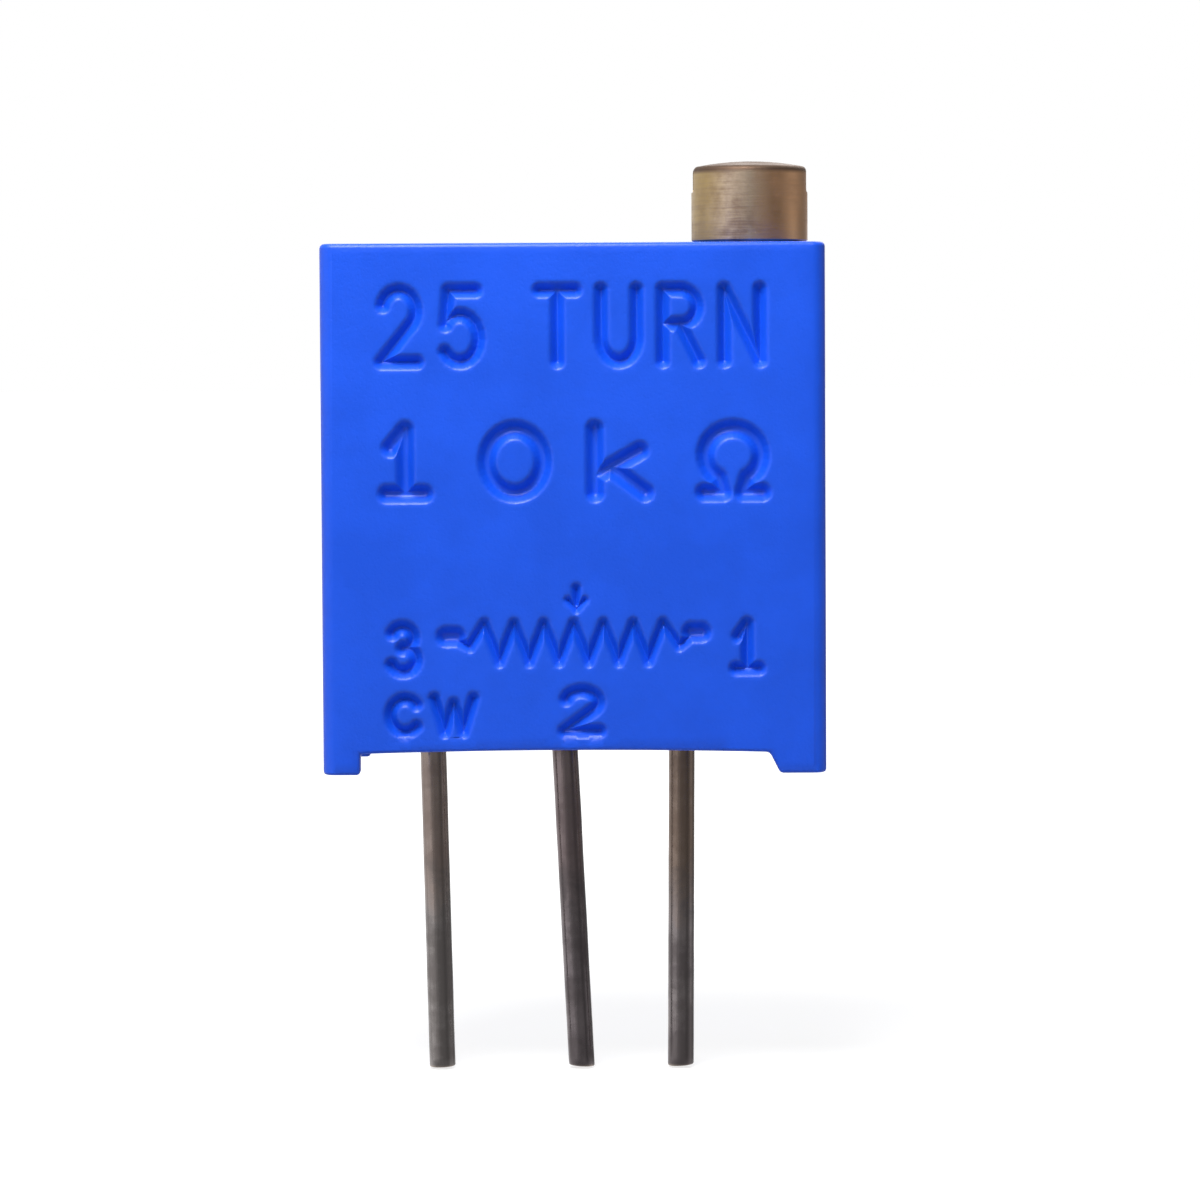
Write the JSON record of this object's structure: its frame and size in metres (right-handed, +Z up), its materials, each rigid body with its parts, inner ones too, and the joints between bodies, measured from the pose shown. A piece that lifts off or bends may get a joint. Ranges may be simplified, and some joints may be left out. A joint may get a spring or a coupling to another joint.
{
  "type": "trimmer potentiometer",
  "caption": "Square blue multi-turn trimmer potentiometer with a slotted brass adjusting screw on top and in-line wire leads below.",
  "frame": {"origin": "where the axis of lead 2 crosses the seating plane that the feet stand on", "axes": "+X along the marked front face towards lead 1, +Y towards the back, +Z up, along the adjusting screw"},
  "size_m": [0.0096, 0.0048, 0.0175],
  "materials": {
    "housing_plastic": "moulded, semi-gloss, blue",
    "screw_brass": "turned, dull",
    "seal_rubber": "smooth",
    "clip_steel": "stamped",
    "rotor_plastic": "moulded, natural",
    "wiper_alloy": "rolled spring metal",
    "pivot_metal": "turned",
    "ceramic": "fired, white",
    "resistive_film": "fired film, dark",
    "conductor_film": "fired film, silver",
    "tinned_lead": "tinned, dull",
    "solder": "solder, satin",
    "plate_plastic": "moulded, blue",
    "potting_resin": "cast resin, dark"
  },
  "bodies": {
    "housing": {"housing": "housing_plastic", "retaining_clip": "clip_steel", "pivot_pin": "pivot_metal", "ceramic_element": "ceramic", "resistive_track": "resistive_film", "collector_track": "conductor_film", "end_conductor_1": "conductor_film", "end_conductor_3": "conductor_film", "terminal_1": "tinned_lead", "terminal_2": "tinned_lead", "terminal_3": "tinned_lead", "solder_joint_1": "solder", "solder_joint_2": "solder", "solder_joint_3": "solder", "closure_plate": "plate_plastic", "potting": "potting_resin"},
    "screw": {"adjusting_screw": "screw_brass", "shaft_seal": "seal_rubber"},
    "rotor": {"rotor_wheel": "rotor_plastic", "wiper_spring": "wiper_alloy"}
  },
  "joints": [
    {"name": "screw_turn", "type": "hinge", "parent": "housing", "child": "screw", "pos_m": [0.00361, 0, 0.01], "axis": [0, 0, 1], "range_deg": [-4500, 4500]},
    {"name": "rotor_turn", "type": "hinge", "parent": "housing", "child": "rotor", "pos_m": [-0.00015, 0, 0.00589], "axis": [0, 1, 0], "range_deg": [-140.7, 140.7]}
  ],
  "couplings": [
    {"joint": "rotor_turn", "follows": "screw_turn", "ratio": 0.03125}
  ]
}
